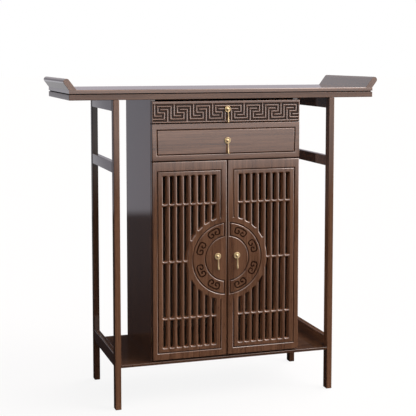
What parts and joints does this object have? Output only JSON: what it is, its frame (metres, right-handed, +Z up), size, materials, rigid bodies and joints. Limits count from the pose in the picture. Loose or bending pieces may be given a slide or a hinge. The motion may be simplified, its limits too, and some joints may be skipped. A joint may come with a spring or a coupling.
{
  "type": "altar table",
  "caption": "Tall wooden altar table with turned-out ends, a low shelf, and a cupboard on it with drawers over pierced doors that share a carved round medallion.",
  "frame": {"origin": "on the floor under the middle of the whole box", "axes": "+Z up, front towards -Y, +X to the right seen from the front"},
  "size_m": [1.0998, 0.416, 1.0965],
  "materials": {
    "dark_walnut": "dark brown satin lacquer, straight fine grain",
    "plain_inner_wood": "plain, matt, lightly sanded",
    "brass": "polished, lightly lacquered"
  },
  "bodies": {
    "frame": {"top_board": "dark_walnut", "top_under_board": "dark_walnut", "wing_left": "dark_walnut", "wing_right": "dark_walnut", "leg_front_left": "dark_walnut", "leg_front_right": "dark_walnut", "leg_back_left": "dark_walnut", "leg_back_right": "dark_walnut", "rail_lower_left": "dark_walnut", "rail_lower_right": "dark_walnut", "rail_middle_left": "dark_walnut", "rail_middle_right": "dark_walnut", "rail_upper_left": "dark_walnut", "rail_upper_right": "dark_walnut", "shelf_board": "dark_walnut", "cabinet_side_left": "dark_walnut", "cabinet_side_right": "dark_walnut", "cabinet_back": "plain_inner_wood", "cabinet_floor": "plain_inner_wood", "upper_drawer_deck": "plain_inner_wood", "lower_drawer_deck": "plain_inner_wood", "hinge_left_low_fixed_leaf": "brass", "hinge_left_high_fixed_leaf": "brass", "hinge_right_low_fixed_leaf": "brass", "hinge_right_high_fixed_leaf": "brass"},
    "drawer_upper": {"drawer_upper_front": "dark_walnut", "drawer_upper_side_left": "plain_inner_wood", "drawer_upper_side_right": "plain_inner_wood", "drawer_upper_back": "plain_inner_wood", "drawer_upper_bottom": "plain_inner_wood", "pull_upper_rosette": "brass"},
    "drawer_lower": {"drawer_lower_front": "dark_walnut", "drawer_lower_side_left": "plain_inner_wood", "drawer_lower_side_right": "plain_inner_wood", "drawer_lower_back": "plain_inner_wood", "drawer_lower_bottom": "plain_inner_wood", "pull_lower_rosette": "brass"},
    "door_left": {"door_left": "dark_walnut", "hinge_left_low_door_leaf": "brass", "hinge_left_high_door_leaf": "brass", "pull_left_rosette": "brass"},
    "door_right": {"door_right": "dark_walnut", "hinge_right_low_door_leaf": "brass", "hinge_right_high_door_leaf": "brass", "pull_right_rosette": "brass"},
    "drop_upper": {"pull_upper_drop": "brass"},
    "drop_lower": {"pull_lower_drop": "brass"},
    "drop_left": {"pull_left_drop": "brass"},
    "drop_right": {"pull_right_drop": "brass"}
  },
  "joints": [
    {"name": "slide_upper", "type": "slide", "parent": "frame", "child": "drawer_upper", "axis": [0, -1, 0], "range_m": [0, 0.24]},
    {"name": "slide_lower", "type": "slide", "parent": "frame", "child": "drawer_lower", "axis": [0, -1, 0], "range_m": [0, 0.24]},
    {"name": "swing_door_left", "type": "hinge", "parent": "frame", "child": "door_left", "pos_m": [-0.259, -0.17515, 0.4875], "axis": [0, 0, -1], "range_deg": [0, 100]},
    {"name": "swing_door_right", "type": "hinge", "parent": "frame", "child": "door_right", "pos_m": [0.259, -0.17515, 0.4875], "axis": [0, 0, 1], "range_deg": [0, 100]},
    {"name": "swing_upper", "type": "hinge", "parent": "drawer_upper", "child": "drop_upper", "pos_m": [0, -0.20465, 0.992], "axis": [-1, 0, 0], "range_deg": [-4, 78]},
    {"name": "swing_lower", "type": "hinge", "parent": "drawer_lower", "child": "drop_lower", "pos_m": [0, -0.20465, 0.887], "axis": [-1, 0, 0], "range_deg": [-4, 78]},
    {"name": "swing_left", "type": "hinge", "parent": "door_left", "child": "drop_left", "pos_m": [-0.034, -0.20465, 0.496], "axis": [-1, 0, 0], "range_deg": [-4, 78]},
    {"name": "swing_right", "type": "hinge", "parent": "door_right", "child": "drop_right", "pos_m": [0.034, -0.20465, 0.496], "axis": [-1, 0, 0], "range_deg": [-4, 78]}
  ]
}
